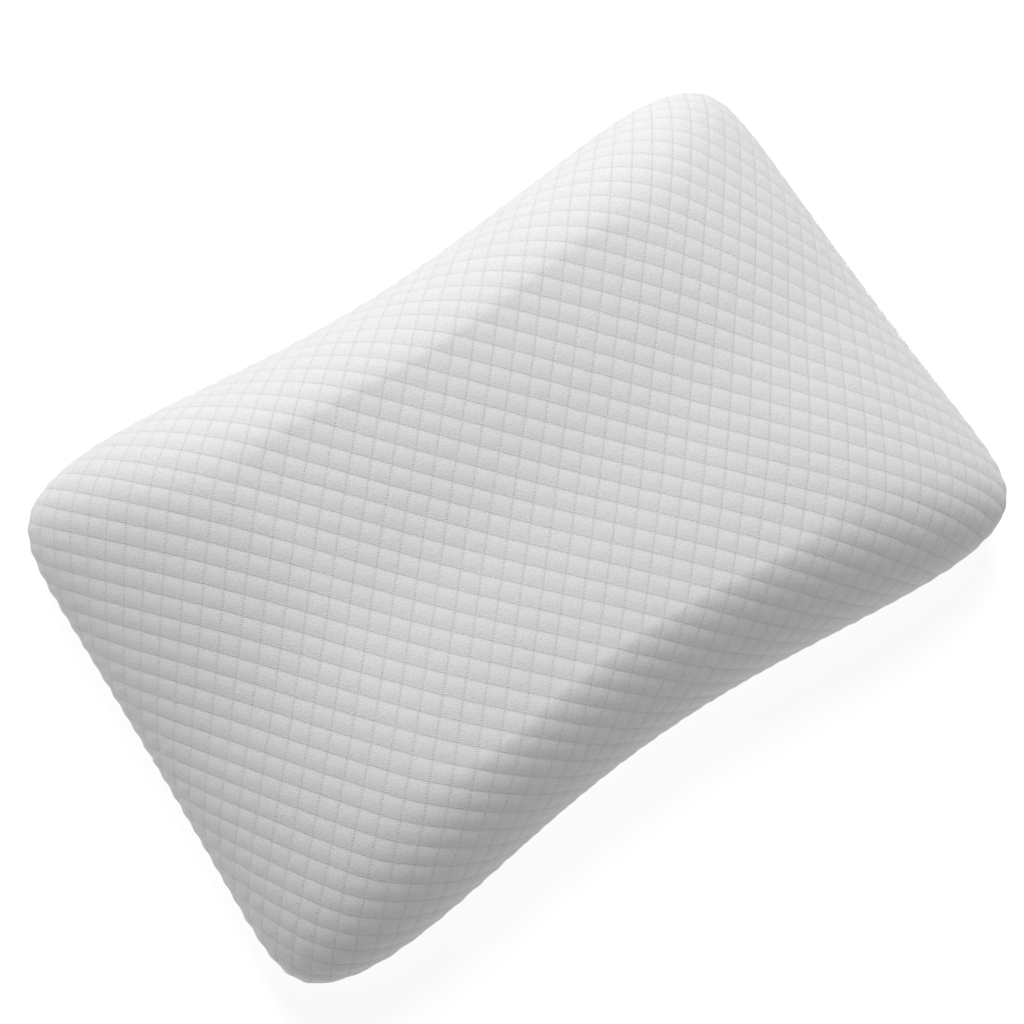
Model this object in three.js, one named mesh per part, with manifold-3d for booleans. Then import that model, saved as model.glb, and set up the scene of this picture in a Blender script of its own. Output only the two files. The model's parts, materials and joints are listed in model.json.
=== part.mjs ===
// A contour bed pillow: a moulded foam core in an inner liner and a quilted cover with a zip.
// Millimetres, +Z up, +X along the pillow, +Y to its back edge, origin under its middle on the floor.
import * as THREE from "three";
import { mergeVertices } from "three/addons/utils/BufferGeometryUtils.js";
import Module from "manifold-3d";

const wasm = await Module();
wasm.setup();

// Driving dimensions of the pillow
const length = 500; // end to end, along the front edge
const width = 320; // across, where it is widest
const frontCrest = 114; // height of the front lobe
const backCrest = 108; // height of the back lobe
const valleyDepth = 5; // the hollow between the lobes
const endFall = 10; // how far the top drops towards each end
const frontWaist = 17; // how far the long edges draw in at mid length
const backWaist = 13;
const waistReach = 208; // half length of the drawn-in stretch
const endWaist = 2.7; // how far the short ends draw in
const backShortening = 14; // how much shorter the back edge is than the front, at each end
const squareness = 10; // exponent of the plan: higher is squarer
const frontRim = 60; // horizontal reach of the rounding, from the edge to the crest
const backRim = 56;
const endRim = 122;
const sideWidest = 43; // height of the widest line on the long sides
const endWidest = 33; // and on the short ends
const footInset = 26; // rounding under the widest line
const sideFlatness = 1.28; // exponent of the rounding: 1 is an ellipse, more is flatter
const endFlatness = 1.12;

// Driving dimensions of the layers
const coverThickness = 3.5;
const coverEase = 3; // slack between cover and liner
const linerThickness = 1;
const linerEase = 0.9; // slack between liner and core
const gap = 0.4; // clearance between touching pieces
const seamHeight = 30; // height of the seam between top and base panel
const linerMouthHeight = 16;
const labelLength = 42;
const labelWidth = 28;
const labelThickness = 0.6;
const labelInset = 8; // from where the base turns up to the label
const allowanceHeight = 7;
const allowanceThickness = 1.2;

// Driving dimensions of the zip, which lies in a slot between two folded edges of the cover
const zipRun = 200; // from stop to stop
const slotHeight = 12;
const slotDepth = 5.5; // from the widest line to the face of the tapes
const tapeWidth = 7; // each of the two tapes
const tapeThickness = 0.7;
const tapeTuck = 4; // how far the tapes run on under the cover, past the ends of the slot
const coilWidth = 2;
const coilHeight = 1.3;
const coilGap = 1.4; // between the two halves, where the slider's web passes
const stopLength = 2.6;
const sliderLength = 10;
const sliderWidth = 8.4;
const sliderPlate = 0.8;
const sliderWeb = 0.7;
const bridgeLength = 7;
const bridgeWidth = 1.6;
const bridgeThickness = 0.7;
const pullBar = 0.5; // radius of the pull's cross bar
const pullLength = 19;
const pullWidth = 6;
const pullThickness = 1.2;
const pullArm = 1.1; // width of the arms beside the bridge
const runClearance = 0.3; // between the slider and what it runs on

// Mesh fineness
const around = 60;
const cornerWeight = 60; // how strongly the steps crowd where the outline turns
const rimRows = 8;
const topRows = 4;
const footRows = 5;

const halfLength = length / 2;

function planRadius(turn) {
  const c = Math.abs(Math.cos(turn)) / halfLength;
  const s = Math.abs(Math.sin(turn)) / (width / 2);
  return (c ** squareness + s ** squareness) ** (-1 / squareness);
}

// The share of the half width that is left where a long edge draws in
function sideShare(x, y) {
  const reach = Math.min(1, Math.abs(x) / waistReach);
  const waist = y < 0 ? frontWaist : backWaist;
  return 1 - (waist / (width / 2)) * (1 - reach ** 2) ** 2;
}

// The share of the half length that is left where an end draws in and the back shortens
function endShareLeft(y) {
  const across = y / (width / 2);
  const hollow = 1 - (endWaist / halfLength) * (1 - across ** 2);
  return hollow * (1 - ((backShortening / halfLength) * (1 + across)) / 2);
}

function rawOutline(turn) {
  const r = planRadius(turn);
  const x = r * Math.cos(turn);
  const y = r * Math.sin(turn);
  return [x * endShareLeft(y), y * sideShare(x, y)];
}

// The waists take a little off the extremes too, so the outline is stretched back to its full size.
const samples = Array.from({ length: 721 }, (_, i) => rawOutline((i / 720) * 2 * Math.PI));
const xs = samples.map((p) => p[0]);
const ys = samples.map((p) => p[1]);
const lengthFit = halfLength / Math.max(...xs);
const widthFit = width / (Math.max(...ys) - Math.min(...ys));
const outlineMiddle = ((Math.max(...ys) + Math.min(...ys)) / 2) * widthFit;

function outline(turn) {
  const [x, y] = rawOutline(turn);
  return [x * lengthFit, y * widthFit - outlineMiddle];
}

// 1 on the short ends, 0 on the long sides, smooth over the corners
function endShare(x, y) {
  const ex = (Math.abs(x) / halfLength) ** 6;
  const ey = (Math.abs(y) / (width / 2)) ** 6;
  return ex / (ex + ey);
}

// 1 at the front edge, 0 at the back edge
function frontShare(y) {
  return 1 / (1 + Math.exp(12 * (y / (width / 2))));
}

const mix = (a, b, share) => a + (b - a) * share;

// Height of the top at a place, before the rim rounds it off: two lobes, a valley and falling ends
function topHeight(x, y) {
  const across = y / (width / 2);
  const along = x / halfLength;
  const crest = mix(backCrest, frontCrest, frontShare(y * 0.35));
  return crest - valleyDepth * Math.exp(-((across / 0.32) ** 2)) - endFall * along ** 2;
}

// A point of the outer skin. roll runs from -1 under the middle, over -0.5 where the flat base
// starts, 0 at the widest line and 0.5 at the crest, to 1 on top of the middle.
function skinPoint(turn, roll) {
  const [ox, oy] = outline(turn);
  const end = endShare(ox, oy);
  const front = frontShare(oy);
  const reach = Math.hypot(ox, oy);
  const widest = mix(sideWidest, endWidest, end);
  const sideRim = mix(backRim, frontRim, front) / (width / 2);
  const rim = mix(sideRim, endRim / halfLength, end);
  const foot = footInset / reach;
  const flatness = mix(sideFlatness, endFlatness, end);
  if (roll <= 0) {
    const bend = Math.min(1, -roll * 2) * (Math.PI / 2);
    const centring = Math.max(0, -roll * 2 - 1);
    const share = (1 - foot * (1 - Math.cos(bend))) * (1 - centring);
    return [ox * share, oy * share, widest * (1 - Math.sin(bend))];
  }
  const bend = Math.min(1, roll * 2) * (Math.PI / 2);
  const centring = Math.max(0, roll * 2 - 1);
  const share = (1 - rim * (1 - Math.cos(bend) ** flatness)) * (1 - centring);
  const x = ox * share;
  const y = oy * share;
  return [x, y, mix(widest, topHeight(x, y), Math.sin(bend) ** flatness)];
}

function skinNormal(turn, roll) {
  const step = 1e-3;
  const low = Math.max(-0.97, roll - step);
  const high = Math.min(0.97, roll + step);
  const a = new THREE.Vector3(...skinPoint(turn + step, roll));
  const b = new THREE.Vector3(...skinPoint(turn - step, roll));
  const c = new THREE.Vector3(...skinPoint(turn, high));
  const d = new THREE.Vector3(...skinPoint(turn, low));
  return a.sub(b).cross(c.sub(d)).normalize();
}

// A point of the layer that lies a given depth inside the skin
function layerPoint(turn, roll, depth) {
  const p = new THREE.Vector3(...skinPoint(turn, roll));
  return p.addScaledVector(skinNormal(turn, roll), -depth);
}

// The rolls of the rings of a layer, without the two poles
function rings() {
  const foot = Array.from({ length: footRows }, (_, i) => -0.5 + (0.5 * i) / footRows);
  const rim = Array.from({ length: rimRows }, (_, i) => (0.5 * i) / rimRows);
  const top = Array.from({ length: topRows }, (_, i) => 0.5 + (0.5 * i) / topRows);
  return [...foot, ...rim, ...top];
}

// The direction of the outline at a turn, as an angle
function heading(turn) {
  const [ax, ay] = outline(turn - 1e-3);
  const [bx, by] = outline(turn + 1e-3);
  return Math.atan2(by - ay, bx - ax);
}

// The turns of the rings' points: the steps are even in length, and crowd where the outline turns.
function ringTurns() {
  const fine = 1440;
  const covered = [0];
  for (let i = 1; i <= fine; i++) {
    const before = ((i - 1) / fine) * 2 * Math.PI;
    const after = (i / fine) * 2 * Math.PI;
    const [ax, ay] = outline(before);
    const [bx, by] = outline(after);
    const bend = Math.abs(Math.sin(heading(after) - heading(before)));
    covered.push(covered[i - 1] + Math.hypot(bx - ax, by - ay) + cornerWeight * bend);
  }
  const turns = [];
  let i = 0;
  for (let k = 0; k < around; k++) {
    const wanted = (k / around) * covered[fine];
    while (covered[i + 1] <= wanted) i++;
    const part = (wanted - covered[i]) / (covered[i + 1] - covered[i]);
    turns.push(((i + part) / fine) * 2 * Math.PI);
  }
  return turns;
}

// The closed solid that a layer of the pillow encloses
function pillowSolid(depth) {
  const turns = ringTurns();
  const rolls = rings();
  const points = [];
  for (const roll of rolls) {
    for (const turn of turns) points.push(...layerPoint(turn, roll, depth).toArray());
  }
  const bottom = points.length / 3;
  points.push(0, 0, depth);
  points.push(0, 0, topHeight(0, 0) - depth);
  const faces = [];
  for (let k = 0; k < around; k++) {
    const next = (k + 1) % around;
    faces.push(bottom, next, k);
    for (let r = 0; r + 1 < rolls.length; r++) {
      const a = r * around;
      const b = a + around;
      faces.push(a + k, a + next, b + next, a + k, b + next, b + k);
    }
    const last = (rolls.length - 1) * around;
    faces.push(last + k, last + next, bottom + 1);
  }
  const geometry = new THREE.BufferGeometry();
  geometry.setAttribute("position", new THREE.Float32BufferAttribute(points, 3));
  geometry.setIndex(faces);
  return geometry;
}

// Between three.js geometry and solids that can be joined and cut
function solid(geometry) {
  const bare = geometry.clone();
  bare.deleteAttribute("normal");
  bare.deleteAttribute("uv");
  const merged = mergeVertices(bare, 1e-4);
  const vertProperties = new Float32Array(merged.attributes.position.array);
  const triVerts = new Uint32Array(merged.index.array);
  return new wasm.Manifold(new wasm.Mesh({ numProp: 3, vertProperties, triVerts }));
}

function geometryOf(made) {
  const { vertProperties, triVerts } = made.getMesh();
  const geometry = new THREE.BufferGeometry();
  geometry.setAttribute("position", new THREE.BufferAttribute(vertProperties, 3));
  geometry.setIndex(new THREE.BufferAttribute(triVerts, 1));
  return geometry;
}

// A box given by its lowest and highest corner
function box(low, high) {
  const size = high.map((v, i) => v - low[i]);
  const middle = high.map((v, i) => (v + low[i]) / 2);
  return new THREE.BoxGeometry(...size).translate(...middle);
}

// A flat plate of any outline in y and z, standing from x to x + thickness
function plate(shape, x, thickness, curveSegments = 6) {
  const made = new THREE.ExtrudeGeometry(shape, { depth: thickness, bevelEnabled: false, curveSegments });
  const turned = new THREE.Matrix4().makeBasis(
    new THREE.Vector3(0, 1, 0),
    new THREE.Vector3(0, 0, 1),
    new THREE.Vector3(1, 0, 0),
  );
  return made.applyMatrix4(turned).translate(x, 0, 0);
}

// A rectangle with round corners, centred on a place
function roundRect(w, h, radius, cx = 0, cy = 0) {
  const shape = new THREE.Shape();
  const x = cx - w / 2;
  const y = cy - h / 2;
  shape.moveTo(x + radius, y);
  shape.lineTo(x + w - radius, y);
  shape.absarc(x + w - radius, y + radius, radius, -Math.PI / 2, 0, false);
  shape.lineTo(x + w, y + h - radius);
  shape.absarc(x + w - radius, y + h - radius, radius, 0, Math.PI / 2, false);
  shape.lineTo(x + radius, y + h);
  shape.absarc(x + radius, y + h - radius, radius, Math.PI / 2, Math.PI, false);
  shape.lineTo(x, y + radius);
  shape.absarc(x + radius, y + radius, radius, Math.PI, 1.5 * Math.PI, false);
  return shape;
}

const pillow = new THREE.Group();

function add(group, name, geometry, color, roughness = 0.9, metalness = 0) {
  const mesh = new THREE.Mesh(geometry, new THREE.MeshStandardMaterial({ color, roughness, metalness }));
  mesh.name = name;
  group.add(mesh);
  return mesh;
}

// Depths of the layers under the skin
const linerDepth = coverThickness + coverEase;
const coreDepth = linerDepth + linerThickness + linerEase;

// The zip has a frame of its own: it starts in the middle of the end at the seam, +x points out of
// the pillow, +y runs along the slanting end and +z is up.
const zip = new THREE.Group();
const endSpan = 0.4; // the turns to both sides of the middle that give the end's slant
const [frontX, frontY] = outline(-endSpan);
const [backX, backY] = outline(endSpan);
zip.rotation.z = -Math.atan2(backX - frontX, backY - frontY);
zip.position.set(outline(0)[0], 0, seamHeight);
zip.updateMatrix();

// Places of the zip, in its frame
const stopEnd = zipRun / 2;
const pullReach = pullLength - sliderLength / 2 - stopLength;
const slotHalf = stopEnd + pullReach + gap;
const tapeHalf = slotHalf + tapeTuck;
const tapeReach = coilGap / 2 + tapeWidth;
const tapeFront = -slotDepth;
const tapeBack = tapeFront - tapeThickness;
const coilBack = tapeFront + gap;
const coilFront = coilBack + coilHeight;

// Places of the slider, at the closed end of the zip, and of the pull on it
const sliderMiddle = stopEnd - stopLength - runClearance - sliderLength / 2;
const frontPlateBack = coilFront + runClearance;
const frontPlateFront = frontPlateBack + sliderPlate;
const backPlateFront = tapeBack - runClearance;
const backPlateBack = backPlateFront - sliderPlate;
const barCentre = frontPlateFront + runClearance + pullBar;
const bridgeUnder = barCentre + pullBar + runClearance;
const bridgeTop = bridgeUnder + bridgeThickness;

// Everything above or below a height, as a solid to cut with
function slab(from, to) {
  return solid(box([-length, -width, from], [length, width, to]));
}

// A box in the zip's frame, as a solid to cut with
function zipRoom(low, high) {
  return solid(box(low, high).applyMatrix4(zip.matrix));
}

// The room that the tapes take, and the room that the slider sweeps behind them
function tapeRoom() {
  const reach = tapeReach + gap;
  const end = tapeHalf + gap;
  return zipRoom([tapeBack - gap, -end, -reach], [tapeFront + gap, end, reach]);
}

function sliderRoom() {
  const half = sliderWidth / 2 + gap;
  const end = stopEnd + gap;
  return zipRoom([backPlateBack - gap, -end, -half], [tapeBack, end, half]);
}

function coverPieces() {
  const shell = solid(pillowSolid(0)).subtract(solid(pillowSolid(coverThickness)));
  const half = slotHeight / 2;
  const slot = zipRoom([tapeBack - gap, -slotHalf, -half], [2 * slotDepth, slotHalf, half]);
  const open = shell.subtract(slot).subtract(tapeRoom());
  const top = open.intersect(slab(seamHeight + gap / 2, 2 * frontCrest));
  const base = open.intersect(slab(-gap, seamHeight - gap / 2));
  return [geometryOf(top), geometryOf(base)];
}

// The mouth of the liner is behind the zip, where the core goes in.
function linerSleeve() {
  const shell = solid(pillowSolid(linerDepth)).subtract(solid(pillowSolid(linerDepth + linerThickness)));
  const half = linerMouthHeight / 2;
  const mouth = zipRoom([-halfLength / 4, -slotHalf, -half], [halfLength, slotHalf, half]);
  return geometryOf(shell.subtract(mouth).subtract(tapeRoom()));
}

function foamCore() {
  return geometryOf(solid(pillowSolid(coreDepth)).subtract(tapeRoom()).subtract(sliderRoom()));
}

// The overlocked edge that stands inside the seam, in the slack of the cover, left out at the zip
function seamAllowance() {
  const outer = coverThickness + gap;
  const strip = solid(pillowSolid(outer))
    .subtract(solid(pillowSolid(outer + allowanceThickness)))
    .intersect(slab(seamHeight - allowanceHeight / 2, seamHeight + allowanceHeight / 2));
  const end = tapeHalf + gap;
  const atZip = zipRoom([-halfLength / 4, -end, -allowanceHeight], [halfLength, end, allowanceHeight]);
  return geometryOf(strip.subtract(atZip));
}

// The label lies in the slack over the base panel, beside the open end of the zip.
function careLabel() {
  const end = halfLength - footInset - labelInset;
  const low = [end - labelLength, -stopEnd, coverThickness + gap];
  const high = [end, labelWidth - stopEnd, coverThickness + gap + labelThickness];
  return box(low, high);
}

// side is +1 for the half above the zip's middle and -1 for the half below it
function acrossZip(side, from, to) {
  const a = side * from;
  const b = side * to;
  return [Math.min(a, b), Math.max(a, b)];
}

function zipTape(side) {
  const [low, high] = acrossZip(side, coilGap / 2, tapeReach);
  return box([tapeBack, -tapeHalf, low], [tapeFront, tapeHalf, high]);
}

// A coil half: a bar with a rounded face, from the bottom stop to the top stop
function zipCoil(side) {
  const half = coilWidth / 2;
  const section = new THREE.Shape();
  section.moveTo(0, -half);
  section.lineTo(coilHeight - half, -half);
  section.absarc(coilHeight - half, 0, half, -Math.PI / 2, Math.PI / 2, false);
  section.lineTo(0, half);
  const coilLength = zipRun - 2 * (stopLength + gap);
  const run = { depth: coilLength, bevelEnabled: false, curveSegments: 6 };
  const made = new THREE.ExtrudeGeometry(section, run);
  const alongY = new THREE.Matrix4().makeBasis(
    new THREE.Vector3(1, 0, 0),
    new THREE.Vector3(0, 0, 1),
    new THREE.Vector3(0, -1, 0),
  );
  const middle = side * (coilGap / 2 + half);
  return made.applyMatrix4(alongY).translate(coilBack, coilLength / 2, middle);
}

function topStop(side) {
  const [low, high] = acrossZip(side, coilGap / 2, coilGap / 2 + coilWidth);
  return box([coilBack, stopEnd - stopLength, low], [coilFront, stopEnd, high]);
}

function bottomStop() {
  const reach = coilGap / 2 + coilWidth;
  return box([coilBack, -stopEnd, -reach], [coilFront, stopLength - stopEnd, reach]);
}

function sliderBody() {
  const face = roundRect(sliderLength, sliderWidth, sliderWidth / 3);
  const front = solid(plate(face, frontPlateBack, sliderPlate));
  const back = solid(plate(face, backPlateBack, sliderPlate));
  const bite = sliderPlate / 2;
  const web = box(
    [backPlateFront - bite, -sliderLength / 4, -sliderWeb / 2],
    [frontPlateBack + bite, sliderLength / 4, sliderWeb / 2],
  );
  const hoop = box(
    [frontPlateFront - bite, -bridgeLength / 2, -bridgeWidth / 2],
    [bridgeTop, bridgeLength / 2, bridgeWidth / 2],
  );
  const eye = box(
    [frontPlateFront, bridgeThickness - bridgeLength / 2, -bridgeWidth],
    [bridgeUnder, bridgeLength / 2 - bridgeThickness, bridgeWidth],
  );
  const bridge = solid(hoop).subtract(solid(eye));
  return geometryOf(front.add(back).add(solid(web)).add(bridge));
}

// The pull lies along the zip, from its bar under the bridge towards the open end.
function pullTab() {
  const tabStart = Math.hypot(bridgeLength / 2, bridgeTop - barCentre) + runClearance;
  const armGap = bridgeWidth / 2 + runClearance;
  const neck = 2 * (armGap + pullArm);
  const tab = plate(
    roundRect(pullLength - tabStart, pullWidth, pullWidth / 3, -(pullLength + tabStart) / 2, 0),
    -pullThickness / 2,
    pullThickness,
  );
  const bite = pullThickness / 2;
  const arms = [-1, 1].map((side) => {
    const z = side * (armGap + pullArm / 2);
    return box([-pullBar, -tabStart - bite - pullArm, z - pullArm / 2], [pullBar, 0, z + pullArm / 2]);
  });
  const bar = new THREE.CylinderGeometry(pullBar, pullBar, neck, 16).rotateX(Math.PI / 2);
  let made = solid(tab).add(solid(bar));
  for (const arm of arms) made = made.add(solid(arm));
  return geometryOf(made);
}

const cloth = 0xf2f2f3;
const [topCover, bottomCover] = coverPieces();
add(pillow, "foam_core", foamCore(), 0xf6efd8, 0.8);
add(pillow, "inner_liner", linerSleeve(), 0xe9e9ec);
add(pillow, "top_cover", topCover, cloth);
add(pillow, "bottom_cover", bottomCover, 0xe4e4e8);
add(pillow, "seam_allowance", seamAllowance(), 0xdcdce0);
add(pillow, "care_label", careLabel(), 0xffffff);
for (const [side, half] of [[1, "upper"], [-1, "lower"]]) {
  add(zip, `zip_tape_${half}`, zipTape(side), 0xeeeeef);
  add(zip, `zip_coil_${half}`, zipCoil(side), 0xf5f5f5, 0.4);
  add(zip, `zip_top_stop_${half}`, topStop(side), 0xf5f5f5, 0.4);
}
add(zip, "zip_bottom_stop", bottomStop(), 0xf5f5f5, 0.4);

const slider = new THREE.Group();
slider.position.set(0, sliderMiddle, 0);
add(slider, "zip_slider", sliderBody(), 0xf0f0f0, 0.35, 0.2);
const pull = new THREE.Group();
pull.position.set(barCentre, 0, 0);
add(pull, "zip_pull", pullTab(), 0xf0f0f0, 0.35, 0.2);
slider.add(pull);
zip.add(slider);
pillow.add(zip);

export default pillow;
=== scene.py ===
"""A contour foam bed pillow in a quilted, zipped cover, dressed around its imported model.

The cover, base panel, liner and core are nets of points laid over one formula for the pillow's
skin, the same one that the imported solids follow. Lengths are in metres, and mm is a unit.
"""

import json
import math

import bmesh
import bpy
import numpy as np
from mathutils import Matrix, Vector


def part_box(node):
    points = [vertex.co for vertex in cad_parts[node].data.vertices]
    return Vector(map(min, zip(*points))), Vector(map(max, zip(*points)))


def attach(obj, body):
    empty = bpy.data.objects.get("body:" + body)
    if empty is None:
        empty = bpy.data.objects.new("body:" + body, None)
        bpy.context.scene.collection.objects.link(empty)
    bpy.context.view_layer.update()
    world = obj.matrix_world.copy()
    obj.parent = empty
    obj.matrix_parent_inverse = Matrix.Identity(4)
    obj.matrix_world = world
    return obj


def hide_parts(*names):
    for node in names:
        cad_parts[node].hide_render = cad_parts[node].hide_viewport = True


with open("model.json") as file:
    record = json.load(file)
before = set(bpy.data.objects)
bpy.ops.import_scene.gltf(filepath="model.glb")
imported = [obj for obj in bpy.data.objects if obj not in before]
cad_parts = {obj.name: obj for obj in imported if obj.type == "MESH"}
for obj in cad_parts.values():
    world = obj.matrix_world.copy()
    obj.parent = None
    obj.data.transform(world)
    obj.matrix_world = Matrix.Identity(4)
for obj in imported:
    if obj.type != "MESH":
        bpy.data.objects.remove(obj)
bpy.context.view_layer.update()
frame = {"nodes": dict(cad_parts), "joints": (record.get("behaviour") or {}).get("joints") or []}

mm = 0.001

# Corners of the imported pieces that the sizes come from
top_low, top_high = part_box("top_cover")
base_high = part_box("bottom_cover")[1]
core_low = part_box("foam_core")[0]
liner_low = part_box("inner_liner")[0]
tape_low, tape_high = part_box("zip_tape_upper")
joints = {joint["name"]: joint for joint in frame["joints"]}

# Sizes of the pillow's skin
HALF_LENGTH = -top_low[0]
HALF_WIDTH = (top_high[1] - top_low[1]) / 2
SEAM_HEIGHT = (top_low[2] + base_high[2]) / 2
FRONT_CREST = 114 * mm
BACK_CREST = 108 * mm
VALLEY_DEPTH = 5 * mm
VALLEY_SPREAD = 0.32
END_FALL = 10 * mm
FRONT_WAIST = 17 * mm
BACK_WAIST = 13 * mm
WAIST_REACH = 208 * mm
END_WAIST = 2.7 * mm
BACK_SHORTENING = 14 * mm
SQUARENESS = 10
FRONT_RIM = 60 * mm
BACK_RIM = 56 * mm
END_RIM = 122 * mm
SIDE_WIDEST = 43 * mm
END_WIDEST = 33 * mm
FOOT_INSET = 26 * mm
SIDE_FLATNESS = 1.28
END_FLATNESS = 1.12

# Sizes of the layers
COVER_THICKNESS = 3.5 * mm
LINER_DEPTH = -top_low[0] + liner_low[0]
LINER_THICKNESS = 1 * mm
CORE_DEPTH = -top_low[0] + core_low[0]
SEAM_GAP = 0.5 * mm
HEM_ROLL = 1.6 * mm
PUCKER = 0.35 * mm
PUCKER_PITCH = 9 * mm
PUCKER_REACH = 14 * mm

# Sizes of the quilting: the lines cross at a slant and make upright diamonds on the fabric
QUILT_ALONG = 14.9 * mm
QUILT_ACROSS = 16.65 * mm
QUILT_PUFF = 0.72 * mm
QUILT_ROUNDNESS = (0.8, 0.3)
QUILT_LINES = 1 / math.hypot(1 / QUILT_ALONG, 1 / QUILT_ACROSS)
QUILT_START = (0.44, 0.28)
NEEDLE_HOLES = 9

# Sizes of the nets of points, and how many steps of an outer face one of its inner face spans
COVER_STEP = 1.3 * mm
COVER_SPAN = 5
BASE_STEP = 2.5 * mm
INNER_STEP = 6 * mm

# Sizes of the zip
SLOT_HALF_HEIGHT = 6 * mm
SLOT_DEPTH = 5.5 * mm
TAPE_THICKNESS = 0.7 * mm
COIL_GAP = 0.15 * mm


# --- The pillow's skin ---------------------------------------------------------------------------

def mix(a, b, share):
    return a + (b - a) * share


def raw_outline(turn):
    c = np.abs(np.cos(turn)) / HALF_LENGTH
    s = np.abs(np.sin(turn)) / HALF_WIDTH
    r = (c ** SQUARENESS + s ** SQUARENESS) ** (-1 / SQUARENESS)
    x = r * np.cos(turn)
    y = r * np.sin(turn)
    across = y / HALF_WIDTH
    hollow = 1 - END_WAIST / HALF_LENGTH * (1 - across ** 2)
    shortened = 1 - BACK_SHORTENING / HALF_LENGTH * (1 + across) / 2
    reach = np.minimum(1, np.abs(x) / WAIST_REACH)
    waist = np.where(y < 0, FRONT_WAIST, BACK_WAIST) / HALF_WIDTH
    return x * hollow * shortened, y * (1 - waist * (1 - reach ** 2) ** 2)


SAMPLE_X, SAMPLE_Y = raw_outline(np.linspace(0, 2 * math.pi, 721))
LENGTH_FIT = HALF_LENGTH / SAMPLE_X.max()
WIDTH_FIT = 2 * HALF_WIDTH / (SAMPLE_Y.max() - SAMPLE_Y.min())
OUTLINE_MIDDLE = (SAMPLE_Y.max() + SAMPLE_Y.min()) / 2 * WIDTH_FIT


def outline(turn):
    x, y = raw_outline(turn)
    return x * LENGTH_FIT, y * WIDTH_FIT - OUTLINE_MIDDLE


def front_share(y):
    """1 at the front edge, 0 at the back edge."""
    return 1 / (1 + np.exp(12 * y / HALF_WIDTH))


def top_height(x, y):
    crest = mix(BACK_CREST, FRONT_CREST, front_share(y * 0.35))
    valley = VALLEY_DEPTH * np.exp(-(y / HALF_WIDTH / VALLEY_SPREAD) ** 2)
    return crest - valley - END_FALL * (x / HALF_LENGTH) ** 2


def skin(turn, roll):
    """Points of the outer skin. roll runs from -1 under the middle over -0.5 at the flat base's
    edge, 0 at the widest line and 0.5 at the crest to 1 on top of the middle."""
    ox, oy = outline(turn)
    ex = (np.abs(ox) / HALF_LENGTH) ** 6
    ey = (np.abs(oy) / HALF_WIDTH) ** 6
    end = ex / (ex + ey)
    widest = mix(SIDE_WIDEST, END_WIDEST, end)
    side_rim = mix(BACK_RIM, FRONT_RIM, front_share(oy)) / HALF_WIDTH
    rim = mix(side_rim, END_RIM / HALF_LENGTH, end)
    foot = FOOT_INSET / np.hypot(ox, oy)
    flatness = mix(SIDE_FLATNESS, END_FLATNESS, end)
    bend = np.minimum(1, np.abs(roll) * 2) * math.pi / 2
    centring = np.maximum(0, np.abs(roll) * 2 - 1)
    cosine = np.maximum(0, np.cos(bend))
    upper = (1 - rim * (1 - cosine ** flatness)) * (1 - centring)
    lower = (1 - foot * (1 - cosine)) * (1 - centring)
    share = np.where(roll > 0, upper, lower)
    x = ox * share
    y = oy * share
    risen = mix(widest, top_height(x, y), np.sin(bend) ** flatness)
    z = np.where(roll > 0, risen, widest * (1 - np.sin(bend)))
    return np.stack([x, y, z], -1)


def skin_normal(turn, roll):
    step = 1e-3
    low = np.clip(roll - step, -0.97, 0.97 - 2 * step)
    around = skin(turn + step, low) - skin(turn - step, low)
    upward = skin(turn, low + 2 * step) - skin(turn, low)
    normal = np.cross(around, upward)
    return normal / np.linalg.norm(normal, axis=-1, keepdims=True)


# --- The zip's own frame -------------------------------------------------------------------------

# It starts at the middle of the end on the seam: x points out, y runs along the end, z is up.
slide_axis = Vector(joints["zip_slide"]["axis"])
zip_turn = math.atan2(slide_axis.x, -slide_axis.y)
zip_place = (
    Matrix.Translation((*((np.array(tape_low) + np.array(tape_high)) / 2)[:2], SEAM_HEIGHT))
    @ Matrix.Rotation(zip_turn, 4, "Z")
    @ Matrix.Translation((SLOT_DEPTH + TAPE_THICKNESS / 2, 0, 0))
)
SLOT_HALF = (tape_high[1] - tape_low[1]) / 2 / math.cos(zip_turn) - 4 * mm


def along_zip(points):
    """How far along the zip the points lie, from its middle."""
    inverse = np.array(zip_place.inverted())
    local = points @ inverse[:3, :3].T + inverse[:3, 3]
    return local[..., 1]


# --- Nets of points over the skin ----------------------------------------------------------------

def smooth_step(value):
    value = np.clip(value, 0, 1)
    return value * value * (3 - 2 * value)


def edge_height(turn, side, gap, opening):
    """The height of a half's edge at the seam: it leaves the seam where the zip's slot is."""
    x, y = outline(turn)
    at_zip = along_zip(np.stack([x, y, x * 0 + SEAM_HEIGHT], -1))
    inside = smooth_step((SLOT_HALF + 4 * mm - np.abs(at_zip)) / (3 * mm)) * (x > 0)
    return SEAM_HEIGHT + side * mix(gap, opening, inside)


def roll_at(turns, heights):
    """The roll at which the skin's side has the given height, for each turn."""
    rolls = np.linspace(-0.499, 0.3, 1200)
    table = skin(turns[:, None], rolls[None, :])[..., 2]
    return np.array([np.interp(height, row, rolls) for height, row in zip(heights, table)])


def meridians(side, gap, opening):
    """For each turn, the roll at each even share of the way from the pole to the edge, and the
    length of that way. side is 1 for the upper half and -1 for the lower half."""
    turns = np.linspace(-math.pi, math.pi, 1441)
    edges = roll_at(turns, edge_height(turns, side, gap, opening))
    shares = np.linspace(0, 1, 500)
    rolls = side + (edges[:, None] - side) * shares[None, :]
    points = skin(turns[:, None], rolls)
    steps = np.linalg.norm(np.diff(points, axis=1), axis=-1)
    covered = np.concatenate([np.zeros((len(turns), 1)), np.cumsum(steps, axis=1)], axis=1)
    even = np.array([np.interp(shares * way[-1], way, roll) for way, roll in zip(covered, rolls)])
    return turns, shares, even, covered[:, -1]


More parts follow.
